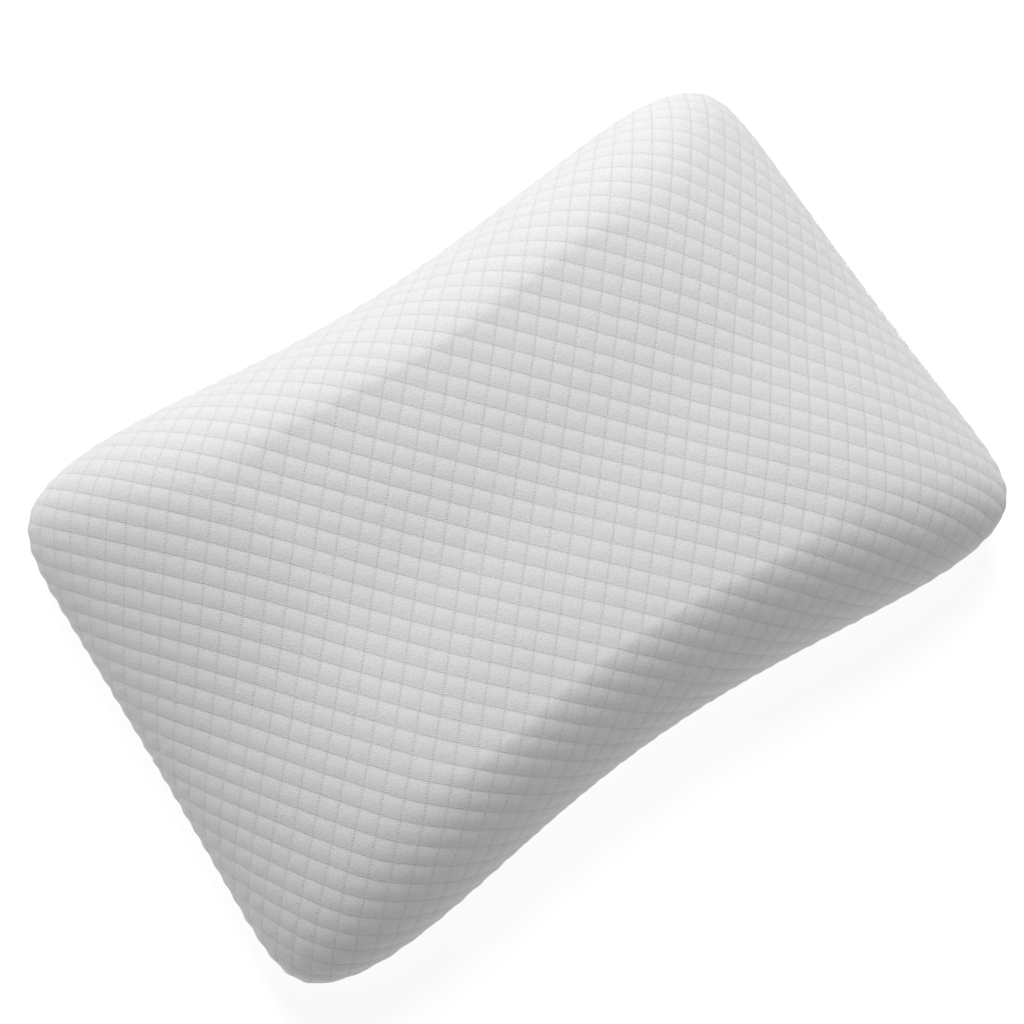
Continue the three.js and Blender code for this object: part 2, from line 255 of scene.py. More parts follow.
def look_up(table, turns, shares, turn, share):
    """The value of a table of turns and shares, read between its entries."""
    i = (turn - turns[0]) / (turns[1] - turns[0])
    j = share * (len(shares) - 1)
    i0 = np.clip(np.floor(i).astype(int), 0, len(turns) - 2)
    j0 = np.clip(np.floor(j).astype(int), 0, len(shares) - 2)
    fi = i - i0
    fj = j - j0
    near = mix(table[i0, j0], table[i0, j0 + 1], fj)
    far = mix(table[i0 + 1, j0], table[i0 + 1, j0 + 1], fj)
    return mix(near, far, fi)


class Net:
    """A net of points over one half of the skin, from the pole to the edge at the seam.

    Its rings are squares in the net's own coordinates, so it has no crowded pole: across and along
    run from -1 to 1, and the ring is the larger of the two.
    """

    def __init__(self, side, step, gap, opening, hem, span=1):
        self.turns, self.shares, self.rolls, ways = meridians(side, gap, opening)
        self.half_x = np.interp(math.pi, self.turns, ways)
        self.half_y = np.interp(math.pi / 2, self.turns, ways)
        self.xs = self.lines(self.half_x, step, hem, span)
        self.ys = self.lines(self.half_y, step, hem, span)
        a, b = np.meshgrid(self.xs, self.ys)
        self.ring = np.maximum(np.abs(a), np.abs(b))
        self.turn = np.arctan2(HALF_WIDTH * b, HALF_LENGTH * a)
        self.roll = look_up(self.rolls, self.turns, self.shares, self.turn, self.ring)
        self.points = skin(self.turn, self.roll)
        self.normals = skin_normal(self.turn, self.roll)
        self.to_edge = (1 - self.ring) * mix(self.half_y, self.half_x, np.abs(np.cos(self.turn)))

    def lines(self, half, step, hem, span):
        """Even lines from -1 to 1, with a few closer ones for the roll of the hem."""
        count = max(1, round(half / step / span)) * span
        even = np.linspace(0, 1, count + 1)
        if hem:
            last = 1 - HEM_ROLL / half * np.array([1.6, 0.95, 0.5, 0.2])
            even = np.concatenate([even[even < last[0] - step / half / 2], last, [1]])
        return np.concatenate([-even[:0:-1], even])


def every(lines, stride):
    """The numbers of every few lines, always with the middle one and the two ends."""
    half = len(lines) // 2
    out = list(range(half, 0, -stride)) + [0]
    return np.array(sorted(set(out + [2 * half - i for i in out])))


def springs(count_y, count_x):
    """Pairs of slices that join each point of a net to its neighbours."""
    whole_y, whole_x = slice(0, count_y), slice(0, count_x)
    yield (whole_y, slice(0, -1)), (whole_y, slice(1, None))
    yield (slice(0, -1), whole_x), (slice(1, None), whole_x)
    yield (slice(0, -1), slice(0, -1)), (slice(1, None), slice(1, None))
    yield (slice(0, -1), slice(1, None)), (slice(1, None), slice(0, -1))


def relax(points, flat, rounds):
    """Lays a net flat: moves its flat points until its threads have their length on the pillow."""
    pairs = list(springs(*points.shape[:2]))
    lengths = [np.linalg.norm(points[b] - points[a], axis=-1) for a, b in pairs]
    count = np.zeros(flat.shape[:2] + (1,))
    for a, b in pairs:
        count[a] += 1
        count[b] += 1
    for _ in range(rounds):
        move = np.zeros_like(flat)
        for (a, b), length in zip(pairs, lengths):
            gap = flat[b] - flat[a]
            now = np.linalg.norm(gap, axis=-1)
            pull = gap * ((now - length) / np.maximum(now, 1e-9) / 2)[..., None]
            move[a] += pull
            move[b] -= pull
        flat = flat + 1.6 * move / count
    return flat


def resample(values, old_x, old_y, new_x, new_y):
    rows = np.stack([[np.interp(new_x, old_x, row) for row in values[..., k]] for k in (0, 1)], -1)
    columns = [[np.interp(new_y, old_y, rows[:, i, k]) for i in range(len(new_x))] for k in (0, 1)]
    return np.stack(columns, -1).transpose(1, 0, 2)


def flat_pattern(net):
    """The fabric's own flat coordinates at each point of a net, found on coarse nets first."""
    xs, ys = net.xs, net.ys
    flat = None
    for stride, rounds in ((16, 300), (8, 300), (4, 200), (1, 40)):
        keep_x = every(xs, stride)
        keep_y = every(ys, stride)
        points = net.points[np.ix_(keep_y, keep_x)]
        if flat is None:
            flat = np.stack(np.meshgrid(xs[keep_x] * net.half_x, ys[keep_y] * net.half_y), -1)
        else:
            flat = resample(flat, old_x, old_y, xs[keep_x], ys[keep_y])
        flat = relax(points, flat, rounds)
        old_x, old_y = xs[keep_x], ys[keep_y]
    middle = flat[len(ys) // 2, len(xs) // 2]
    return flat - middle


# --- Meshes from nets ----------------------------------------------------------------------------

def grid_faces(numbers, flip):
    a = numbers[:-1, :-1].ravel()
    b = numbers[:-1, 1:].ravel()
    c = numbers[1:, 1:].ravel()
    d = numbers[1:, :-1].ravel()
    return np.stack([a, d, c, b] if flip else [a, b, c, d], -1).tolist()


def border(numbers):
    """The point numbers around a net, counter-clockwise, the first one once."""
    return np.concatenate([
        numbers[0, :-1], numbers[:-1, -1], numbers[-1, :0:-1], numbers[:0:-1, 0],
    ])


def rim_faces(outer, inner, kept, flip):
    """Faces between a fine outer border and a coarse inner one, whose points sit at kept ones."""
    faces = []
    ends = list(kept) + [len(outer)]
    for k in range(len(inner)):
        first, last = ends[k], ends[k + 1]
        fine = [int(outer[i % len(outer)]) for i in range(last, first - 1, -1)]
        face = [int(inner[k]), int(inner[(k + 1) % len(inner)])] + fine
        faces.append(face[::-1] if flip else face)
    return faces


def add_object(name, data):
    made = bpy.data.objects.new(name, data)
    bpy.context.scene.collection.objects.link(made)
    return made


def new_mesh_object(name, points, faces, cloth=None):
    mesh = bpy.data.meshes.new(name)
    mesh.from_pydata(points.tolist(), [], faces)
    mesh.polygons.foreach_set("use_smooth", [True] * len(mesh.polygons))
    if cloth is not None:
        corners = np.empty(len(mesh.loops), dtype=np.int32)
        mesh.loops.foreach_get("vertex_index", corners)
        layer = mesh.uv_layers.new(name="cloth")
        layer.data.foreach_set("uv", cloth[corners].astype(np.float32).ravel())
    mesh.update()
    return add_object(name, mesh)


def hem_roll(to_edge):
    """How far the outer face turns in towards the edge, as a quarter of a round."""
    short = np.clip(1 - to_edge / HEM_ROLL, 0, 1)
    return HEM_ROLL * (1 - np.sqrt(1 - short ** 2)) * 0.9


def half_shell(side, depth, thickness, step, opening, relief=None, span=1):
    """The points, faces and fabric coordinates of one half of a layer, with its own thickness."""
    net = Net(side, step, SEAM_GAP, opening, hem=True, span=span)
    cloth = flat_pattern(net)
    sunk = np.full(net.ring.shape, depth) + hem_roll(net.to_edge)
    if relief:
        sunk = sunk - relief(net, cloth)
    outer = net.points - net.normals * sunk[..., None]
    coarse = np.ix_(every(net.ys, span), every(net.xs, span))
    inner = net.points[coarse] - net.normals[coarse] * (depth + thickness)
    numbers = np.arange(outer[..., 0].size).reshape(net.ring.shape)
    inner_numbers = numbers.size + np.arange(inner[..., 0].size).reshape(inner.shape[:2])
    flip = side < 0
    around = border(numbers)
    coarse_around = border(numbers[coarse])
    place = {number: i for i, number in enumerate(around.tolist())}
    kept = [place[number] for number in coarse_around.tolist()]
    faces = grid_faces(numbers, flip) + grid_faces(inner_numbers, not flip)
    faces += rim_faces(around, border(inner_numbers), kept, flip)
    points = np.concatenate([outer.reshape(-1, 3), inner.reshape(-1, 3)])
    flat = np.concatenate([cloth.reshape(-1, 2), cloth[coarse].reshape(-1, 2)])
    return points, faces, flat


def weld(made, distance):
    mesh = bmesh.new()
    mesh.from_mesh(made.data)
    bmesh.ops.remove_doubles(mesh, verts=mesh.verts, dist=distance)
    mesh.to_mesh(made.data)
    mesh.free()


# --- Relief of the fabrics -----------------------------------------------------------------------

def puckers(net):
    """Small gathers beside the seam, which die out away from it."""
    around = net.turn * (HALF_LENGTH + HALF_WIDTH) / 2
    wave = np.sin(2 * math.pi * around / PUCKER_PITCH + 2 * np.sin(around / (31 * mm)))
    return PUCKER * wave * np.exp(-net.to_edge / PUCKER_REACH)


def slack(cloth):
    """The slow, slight unevenness of fabric over foam."""
    s, t = cloth[..., 0], cloth[..., 1]
    slow = np.sin(s / (37 * mm) + 1.3 * np.sin(t / (29 * mm)))
    slower = np.sin(t / (45 * mm) + 1.1 * np.sin(s / (53 * mm) + 0.7))
    return 0.22 * mm * (slow + slower)


def quilt_lines(s, t, unit=1):
    """How many lines of each of the two sets lie before a place on the fabric."""
    along = s / (QUILT_ALONG / unit)
    across = t / (QUILT_ACROSS / unit)
    return along + across + QUILT_START[0], along - across + QUILT_START[1]


def quilting(net, cloth):
    """The stitched lines pull the cover down, and the wadding stands up between them."""
    u, v = quilt_lines(cloth[..., 0], cloth[..., 1])
    round_u, round_v = QUILT_ROUNDNESS
    hill = np.abs(np.sin(math.pi * u)) ** round_u * np.abs(np.sin(math.pi * v)) ** round_v
    puff = QUILT_PUFF * (hill - 0.5)
    calm = smooth_step(net.to_edge / (6 * mm))
    taut = mix(0.55, 1, smooth_step((net.normals[..., 2] - 0.1) / 0.8))
    return puff * taut * mix(0.5, 1, calm) + slack(cloth) * calm + puckers(net)


def base_relief(net, cloth):
    """The base panel lies flat on what it rests on, and gathers a little at its seam."""
    return puckers(net) * 0.8 * (net.points[..., 2] > 8 * mm)


# --- Pieces of cloth and foam --------------------------------------------------------------------

def quilted_cover():
    points, faces, cloth = half_shell(
        1, 0.0, COVER_THICKNESS, COVER_STEP, SLOT_HALF_HEIGHT, quilting, COVER_SPAN,
    )
    return new_mesh_object("quilted_cover", points, faces, cloth)


def base_panel():
    points, faces, cloth = half_shell(
        -1, 0.0, COVER_THICKNESS, BASE_STEP, SLOT_HALF_HEIGHT, base_relief,
    )
    return new_mesh_object("base_panel", points, faces, cloth)


def both_halves(upper, lower):
    """The points and faces of two halves as one set."""
    shift = len(upper[0])
    points = np.concatenate([upper[0], lower[0]])
    return points, upper[1] + [[i + shift for i in face] for face in lower[1]]


def liner_sleeve():
    mouth = 8 * mm
    upper = half_shell(1, LINER_DEPTH, LINER_THICKNESS, INNER_STEP, mouth)
    lower = half_shell(-1, LINER_DEPTH, LINER_THICKNESS, INNER_STEP, mouth)
    cloth = np.concatenate([upper[2], lower[2]])
    return new_mesh_object("liner_sleeve", *both_halves(upper, lower), cloth)


def foam_block():
    halves = []
    for side in (1, -1):
        net = Net(side, INNER_STEP, 0, 0, hem=False)
        points = net.points - net.normals * CORE_DEPTH
        numbers = np.arange(net.ring.size).reshape(net.ring.shape)
        halves.append((points.reshape(-1, 3), grid_faces(numbers, side < 0)))
    made = new_mesh_object("foam_block", *both_halves(*halves))
    weld(made, 0.01 * mm)
    return made


# --- Paths for threads and coils -----------------------------------------------------------------

def path_object(points, outward):
    """A line of points that carries the outward direction at each of them."""
    mesh = bpy.data.meshes.new("path")
    edges = [(i, i + 1) for i in range(len(points) - 1)]
    mesh.from_pydata(points.tolist(), edges, [])
    layer = mesh.attributes.new("outward", "FLOAT_VECTOR", "POINT")
    layer.data.foreach_set("vector", np.asarray(outward, dtype=np.float32).ravel())
    return add_object("path", mesh)


def skin_path(turns, heights, lift):
    """A path on the skin at the given turns and heights, lifted off it a little."""
    roll = roll_at(turns, heights)
    normals = skin_normal(turns, roll)
    return skin(turns, roll) + normals * lift, normals


def zip_path(start, end, x, z):
    """A straight path in the zip's frame."""
    ys = np.linspace(start, end, 60)
    local = [zip_place @ Vector((x, y, z)) for y in ys]
    out = zip_place.to_3x3() @ Vector((1, 0, 0))
    return np.array(local), np.array([out] * len(ys))


# --- Geometry Nodes for what repeats -------------------------------------------------------------

class Tree:
    """A small builder of node groups: sizes become named inputs, and nodes are linked by name."""

    def __init__(self, name, **sizes):
        self.group = bpy.data.node_groups.new(name, "GeometryNodeTree")
        face = self.group.interface
        face.new_socket("Geometry", in_out="INPUT", socket_type="NodeSocketGeometry")
        self.identifiers = {}
        for label in sizes:
            socket = face.new_socket(label, in_out="INPUT", socket_type="NodeSocketFloat")
            self.identifiers[label] = socket.identifier
        face.new_socket("Geometry", in_out="OUTPUT", socket_type="NodeSocketGeometry")
        self.sizes = sizes
        self.inputs = self.group.nodes.new("NodeGroupInput").outputs
        self.output = self.group.nodes.new("NodeGroupOutput")

    def node(self, kind, settings=(), **sockets):
        made = self.group.nodes.new(kind)
        for key, value in dict(settings).items():
            setattr(made, key, value)
        for key, value in sockets.items():
            name = key.replace("_", " ")
            socket = made.inputs[int(name[1:])] if name[1:].isdigit() else made.inputs[name]
            if isinstance(value, bpy.types.NodeSocket):
                self.group.links.new(value, socket)
            else:
                socket.default_value = value
        return made

    def finish(self, geometry, material):
        real = self.node("GeometryNodeRealizeInstances", Geometry=geometry)
        set_material = self.node("GeometryNodeSetMaterial", Geometry=real.outputs[0], Material=material)
        self.group.links.new(set_material.outputs[0], self.output.inputs[0])

    def made_on(self, path, name):
        """The tree's result on a path, as a plain mesh object; the path is removed."""
        modifier = path.modifiers.new("nodes", "NODES")
        modifier.node_group = self.group
        for label, value in self.sizes.items():
            modifier[self.identifiers[label]] = value
        graph = bpy.context.evaluated_depsgraph_get()
        mesh = bpy.data.meshes.new_from_object(path.evaluated_get(graph))
        mesh.name = name
        path.modifiers.remove(modifier)
        bpy.data.objects.remove(path)
        mesh.polygons.foreach_set("use_smooth", [True] * len(mesh.polygons))
        return add_object(name, mesh)


def along_path(tree, shape, pitch, swing):
    """Puts a shape at every pitch of the path: x along it, z outward, turned by a swing about z."""
    curve = tree.node("GeometryNodeMeshToCurve", Mesh=tree.inputs[0])
    even = tree.node("GeometryNodeResampleCurve", Curve=curve.outputs[0])
    set_mode(even, "Length")
    tree.group.links.new(pitch, even.inputs["Length"])
    outward = tree.node("GeometryNodeInputNamedAttribute", {"data_type": "FLOAT_VECTOR"}, Name="outward")
    tangent = tree.node("GeometryNodeInputTangent")
    standing = tree.node("FunctionNodeAlignRotationToVector", {"axis": "Z"}, Vector=outward.outputs[0])
    facing = tree.node(
        "FunctionNodeAlignRotationToVector", {"axis": "X", "pivot_axis": "Z"},
        Rotation=standing.outputs[0], Vector=tangent.outputs[0],
    )
    swung = tree.node(
        "FunctionNodeRotateRotation", {"rotation_space": "LOCAL"},
        Rotation=facing.outputs[0], Rotate_By=(0, 0, swing),
    )
    placed = tree.node(
        "GeometryNodeInstanceOnPoints",
        Points=even.outputs[0], Instance=shape, Rotation=swung.outputs[0],
    )
    return placed.outputs[0]


def set_mode(node, mode):
    """Resample Curve keeps its mode in a property or in a menu socket, depending on the version."""
    if hasattr(node, "mode"):
        node.mode = mode.upper()
    else:
        node.inputs["Mode"].default_value = mode


def stitch_row(name, path, material, pitch, length, thick, swing=0.0):
    """Thread stitches: small long grains along a path."""
    tree = Tree(name + "_tree", Pitch=pitch, Length=length, Thickness=thick)
    ball = tree.node("GeometryNodeMeshUVSphere", Segments=8, Rings=5, Radius=0.5)
    size = tree.node("ShaderNodeCombineXYZ")
    tree.group.links.new(tree.inputs["Length"], size.inputs[0])
    tree.group.links.new(tree.inputs["Thickness"], size.inputs[1])
    tree.group.links.new(tree.inputs["Thickness"], size.inputs[2])
    grain = tree.node("GeometryNodeTransform", Geometry=ball.outputs[0], Scale=size.outputs[0])
    tree.finish(along_path(tree, grain.outputs[0], tree.inputs["Pitch"], swing), material)
    return tree.made_on(path, name)


def coil_row(name, path, material, pitch, reach, height, wire):
    """The turns of a zip coil: flat loops of monofilament that stand across the path."""
    tree = Tree(name + "_tree", Pitch=pitch, Reach=reach, Height=height, Wire=wire)
    loop = tree.node("GeometryNodeCurvePrimitiveCircle", {"mode": "RADIUS"}, Resolution=14, Radius=0.5)
    size = tree.node("ShaderNodeCombineXYZ")
    tree.group.links.new(tree.inputs["Reach"], size.inputs[0])
    tree.group.links.new(tree.inputs["Height"], size.inputs[1])
    size.inputs[2].default_value = 1
    oval = tree.node("GeometryNodeTransform", Geometry=loop.outputs[0], Scale=size.outputs[0])
    wire_round = tree.node("GeometryNodeCurvePrimitiveCircle", {"mode": "RADIUS"}, Resolution=6)
    tree.group.links.new(tree.inputs["Wire"], wire_round.inputs["Radius"])
    section = wire_round.outputs[0]
    tube = tree.node("GeometryNodeCurveToMesh", Curve=oval.outputs[0], Profile_Curve=section)
    stood = tree.node(
        "GeometryNodeTransform", Geometry=tube.outputs[0],
        Rotation=(math.pi / 2, 0, math.pi / 2),
    )
    tree.finish(along_path(tree, stood.outputs[0], tree.inputs["Pitch"], 0.0), material)
    return tree.made_on(path, name)


# --- Materials -----------------------------------------------------------------------------------

class Value:
    """A number that varies over a surface. Arithmetic on it adds Math nodes."""

    def __init__(self, finish, socket):
        self.finish = finish
        self.socket = socket

    def math(self, operation, *others):
        made = self.finish.tree.nodes.new("ShaderNodeMath")
        made.operation = operation
        for socket, value in zip(made.inputs, others):
            self.finish.put(socket, value)
        return Value(self.finish, made.outputs[0])

    def __add__(self, other):
        return self.math("ADD", self, other)

    def __radd__(self, other):
        return self.math("ADD", other, self)

    def __sub__(self, other):
        return self.math("SUBTRACT", self, other)

    def __rsub__(self, other):
        return self.math("SUBTRACT", other, self)

    def __mul__(self, other):
        return self.math("MULTIPLY", self, other)

    def __rmul__(self, other):
        return self.math("MULTIPLY", other, self)

    def __truediv__(self, other):
        return self.math("DIVIDE", self, other)

    def fraction(self):
        return self.math("FRACT", self)

    def size(self):
        return self.math("ABSOLUTE", self)

    def sine(self):
        return self.math("SINE", self)

    def larger(self, other):
        return self.math("MAXIMUM", self, other)

    def fade(self, near, far):
        """1 below near, 0 above far, smooth between."""
        made = self.finish.node(
            "ShaderNodeMapRange", {"interpolation_type": "SMOOTHSTEP"},
            Value=self, From_Min=near, From_Max=far, To_Min=1.0, To_Max=0.0,
        )
        return Value(self.finish, made.outputs[0])


class Finish:
    """A material: its constants go straight on the shader, and what varies is built from nodes."""

    def __init__(self, name, **constants):
        self.material = bpy.data.materials.new(name)
        self.material.use_nodes = True
        self.tree = self.material.node_tree
        self.shader = self.tree.nodes["Principled BSDF"]
        for key, value in constants.items():
            self.shader.inputs[key.replace("_", " ")].default_value = value

    def put(self, socket, value):
        if isinstance(value, Value):
            value = value.socket
        if isinstance(value, bpy.types.NodeSocket):
            self.tree.links.new(value, socket)
        else:
            socket.default_value = value

    def node(self, kind, settings=(), **sockets):
        made = self.tree.nodes.new(kind)
        for key, value in dict(settings).items():
            setattr(made, key, value)
        for key, value in sockets.items():
            self.put(made.inputs[key.replace("_", " ")], value)
        return made

    def cloth(self):
        """The two fabric coordinates, in millimetres."""
        where = self.node("ShaderNodeUVMap", {"uv_map": "cloth"})
        apart = self.node("ShaderNodeSeparateXYZ", Vector=where.outputs[0])
        return Value(self, apart.outputs[0]) / mm, Value(self, apart.outputs[1]) / mm

    def place(self, turn=0.0):
        """The place on the piece, in millimetres, turned about the vertical."""
        where = self.node("ShaderNodeTexCoord").outputs["Object"]
        turned = self.node(
            "ShaderNodeMapping", Vector=where, Rotation=(0, 0, -turn), Scale=(1 / mm, 1 / mm, 1 / mm),
        )
        apart = self.node("ShaderNodeSeparateXYZ", Vector=turned.outputs[0])
        return [Value(self, socket) for socket in apart.outputs], turned.outputs[0]

    def join(self, x, y, z=0.0):
        return self.node("ShaderNodeCombineXYZ", X=x, Y=y, Z=z).outputs[0]

    def noise(self, vector, size, detail=2.0, roughness=0.5):
        """Noise between -1 and 1 whose grains have about the given size, in the vector's units."""
        made = self.node(
            "ShaderNodeTexNoise", Vector=vector, Scale=1 / size, Detail=detail, Roughness=roughness,
        )
        return Value(self, made.outputs[0]) * 2 - 1

    def colour(self, base, other, share):
        made = self.node("ShaderNodeMix", {"data_type": "RGBA"})
        self.put(made.inputs["Factor"], share)
        made.inputs[6].default_value = (*base, 1)
        made.inputs[7].default_value = (*other, 1)
        self.tree.links.new(made.outputs[2], self.shader.inputs["Base Color"])

    def bump(self, height, strength=1.0):
        """Relief from a height in millimetres."""
        made = self.node("ShaderNodeBump", Strength=strength, Distance=mm, Height=height)
        self.tree.links.new(made.outputs[0], self.shader.inputs["Normal"])


def knit_grain(s, t, pitch):
    """Fine knit: small leaning loops in columns, as a height between about -1 and 1."""
    columns = (s * (math.pi / pitch)).sine().size() * 2 - 1
    loops = (t * (2 * math.pi / pitch) + columns * 1.4).sine()
    return columns * 0.5 + loops * 0.5


def quilted_knit():
    finish = Finish("quilted_knit", Roughness=0.92, Sheen_Weight=0.25, Sheen_Roughness=0.6)
    s, t = finish.cloth()
    u, v = quilt_lines(s, t, mm)
    flat = finish.join(s, t)
    nap = finish.noise(flat, 1.3, 3.0, 0.8)
    patches = finish.noise(flat, 45.0, 1.0)
    pinch_and_shade_u, holes_and_shade_u = stitched_line(u, v, nap)
    pinch_and_shade_v, holes_and_shade_v = stitched_line(v, u, nap)
    pinch_and_shade = pinch_and_shade_u + pinch_and_shade_v
    holes_and_shade = holes_and_shade_u.larger(holes_and_shade_v)
    grain = knit_grain(s, t, 0.95)
    finish.bump(grain * 0.03 + nap * 0.2 - pinch_and_shade - holes_and_shade * 0.12)
    # painted shade: the pinch and hole terms darken the colour along the stitched creases and in the
    # needle holes
    shade = 0.12 + pinch_and_shade * 1.5 + holes_and_shade * 0.4 + nap * 1.1 + patches * 0.05 - grain * 0.04
    finish.colour((0.86, 0.86, 0.862), (0.62, 0.62, 0.61), shade)
    return finish.material


def stitched_line(across, along, nap):
    """A quilted line where across is a whole number: how deep the thread pinches the fabric, in
    small ticks to both sides, and the needle holes. Both also serve as painted shade, darkening
    the colour along the crease and in the holes."""
    distance = (0.5 - (across.fraction() - 0.5).size()) * (QUILT_LINES / mm)
    ticks = (along * (2 * math.pi * NEEDLE_HOLES)).sine()
    ragged = distance + nap * 0.6
    pinch_and_shade = ragged.fade(0.2, 1.0) * 0.04 + ragged.fade(0.5, 2.2) * ticks * 0.04
    holes_and_shade = distance.fade(0.15, 0.6) * (ticks * 0.5 + 0.5)
    return pinch_and_shade, holes_and_shade


def base_knit():
    finish = Finish("base_knit", Roughness=0.95, Sheen_Weight=0.2, Sheen_Roughness=0.6)
    s, t = finish.cloth()
    flat = finish.join(s, t)
    grain = knit_grain(s, t, 1.6)
    dots = (s * (math.pi / 4)).sine().size() * (t * (math.pi / 4)).sine().size()
    fuzz = finish.noise(flat, 1.0, 3.0, 0.7)
    finish.bump(grain * 0.09 + dots * 0.3 + fuzz * 0.06)
    shade = 0.35 - grain * 0.2 - dots * 0.25 + fuzz * 0.12
    finish.colour((0.77, 0.77, 0.775), (0.62, 0.62, 0.62), shade)
    return finish.material


def liner_knit():
    finish = Finish("liner_knit", Roughness=0.95, Sheen_Weight=0.15)
    s, t = finish.cloth()
    grain = knit_grain(s, t, 1.2)
    fuzz = finish.noise(finish.join(s, t), 1.4, 3.0)
    finish.bump(grain * 0.07 + fuzz * 0.05)
    finish.colour((0.8, 0.8, 0.81), (0.64, 0.64, 0.65), 0.3 - grain * 0.25 + fuzz * 0.1)
    return finish.material


def foam_skin():
    finish = Finish("foam_skin", Roughness=0.85, Subsurface_Weight=0.1, Subsurface_Scale=0.004)
    _, where = finish.place()
    cells = finish.node("ShaderNodeTexVoronoi", Vector=where, Scale=1 / 1.3)
    pores_and_shade = Value(finish, cells.outputs["Distance"]).fade(0.1, 0.45)
    large = finish.noise(where, 30.0)
    finish.bump(finish.noise(where, 2.0) * 0.08 - pores_and_shade * 0.3)
    # painted shade: the sunk pores are also darker in colour
    finish.colour((0.88, 0.86, 0.79), (0.72, 0.68, 0.56), pores_and_shade * 0.55 + large * 0.12 + 0.1)
    return finish.material


def woven_tape():
    finish = Finish("woven_tape", Roughness=0.8, Sheen_Weight=0.15)
    (_, y, z), where = finish.place(zip_turn)
    warp = (z * (2 * math.pi / 0.7)).sine()
    weft = (y * (2 * math.pi / 0.55) + warp * 1.2).sine()
    finish.bump(warp * 0.06 + weft * 0.05)
    shade = 0.3 - weft * 0.2 + finish.noise(where, 2.0) * 0.1
    finish.colour((0.78, 0.78, 0.785), (0.6, 0.6, 0.6), shade)
    return finish.material


def sewing_thread():
    finish = Finish("sewing_thread", Roughness=0.55, Sheen_Weight=0.3)
    _, where = finish.place()
    twist = finish.noise(where, 0.25, 2.0)
    finish.bump(twist * 0.05)
    finish.colour((0.84, 0.84, 0.84), (0.66, 0.66, 0.66), 0.3 + twist * 0.3)
    return finish.material


def nylon():
    finish = Finish("nylon", Roughness=0.32, Subsurface_Weight=0.15, Subsurface_Scale=0.001)
    _, where = finish.place()
    scuff = finish.noise(where, 3.0)
    finish.put(finish.shader.inputs["Roughness"], scuff * 0.08 + 0.32)
    finish.bump(scuff * 0.01)
    finish.colour((0.86, 0.86, 0.86), (0.74, 0.74, 0.74), 0.4 + scuff * 0.3)
    return finish.material


def enamel():
    finish = Finish("enamel", Metallic=0.0, Coat_Weight=0.6, Coat_Roughness=0.12)
    _, where = finish.place()
    cloud = finish.noise(where, 4.0)
    orange = finish.noise(where, 0.5)
    finish.put(finish.shader.inputs["Roughness"], cloud * 0.06 + 0.3)
    finish.bump(orange * 0.012)
    finish.colour((0.83, 0.83, 0.83), (0.7, 0.7, 0.71), 0.3 + cloud * 0.3)
    return finish.material


def ribbon():
    finish = Finish("ribbon", Roughness=0.5, Sheen_Weight=0.2)
    (x, y, _), where = finish.place()
    rib = (x * (2 * math.pi / 0.35)).sine()
    finish.bump(rib * 0.03 + (y * (2 * math.pi / 0.5)).sine() * 0.02)
    shade = 0.25 + rib * 0.15 + finish.noise(where, 3.0) * 0.1
    finish.colour((0.88, 0.88, 0.88), (0.74, 0.74, 0.74), shade)
    return finish.material


# --- Small parts of the zip ----------------------------------------------------------------------

def finished(mesh, name, width, segments=3):
    """Turns a bmesh into an object with rounded edges, its place in its mesh."""
    bmesh.ops.recalc_face_normals(mesh, faces=mesh.faces)
    sharp = [edge for edge in mesh.edges if edge.calc_face_angle(0) > math.radians(40)]
    bmesh.ops.bevel(
        mesh, geom=sharp, offset=width, segments=segments, profile=0.6, affect="EDGES",
        clamp_overlap=True,
    )
    mesh.transform(zip_place)
    data = bpy.data.meshes.new(name)
    mesh.to_mesh(data)
    mesh.free()
    data.polygons.foreach_set("use_smooth", [True] * len(data.polygons))
    return add_object(name, data)


def box_in(mesh, low, high):
    """Adds a box to a bmesh, in the zip's frame."""
    size = Vector(high) - Vector(low)
    middle = (Vector(high) + Vector(low)) / 2
    place = Matrix.Translation(middle) @ Matrix.Diagonal((*size, 1))
    bmesh.ops.create_cube(mesh, size=1, matrix=place)


def in_zip_frame(node):
    """A node's lowest and highest corner in the zip's frame."""
    inverse = zip_place.inverted()
    corners = np.array([inverse @ vertex.co for vertex in frame["nodes"][node].data.vertices])
    return corners.min(0), corners.max(0)


def stop(node):
    low, high = in_zip_frame(node)
    mesh = bmesh.new()
    box_in(mesh, low, high)
    return finished(mesh, node.replace("zip", "moulded"), 0.35 * mm)


def outline_plate(mesh, corners, low, high):
    """Adds a plate with the given outline in y and z, from x low to x high."""
    base = [mesh.verts.new((low, y, z)) for y, z in corners]
    face = mesh.faces.new(base)
    risen = bmesh.ops.extrude_face_region(mesh, geom=[face])
    verts = [item for item in risen["geom"] if isinstance(item, bmesh.types.BMVert)]
    bmesh.ops.translate(mesh, verts=verts, vec=(high - low, 0, 0))


def oval(half_y, half_z, count, power=2.6, taper=0.0):
    """A rounded outline, squarer with more power, narrower towards +y with taper."""
    points = []
    for i in range(count):
        turn = 2 * math.pi * i / count
        c, s = math.cos(turn), math.sin(turn)
        y = half_y * math.copysign(abs(c) ** (2 / power), c)
        z = half_z * math.copysign(abs(s) ** (2 / power), s)
        points.append((y, z * (1 - taper * y / half_y)))
    return points


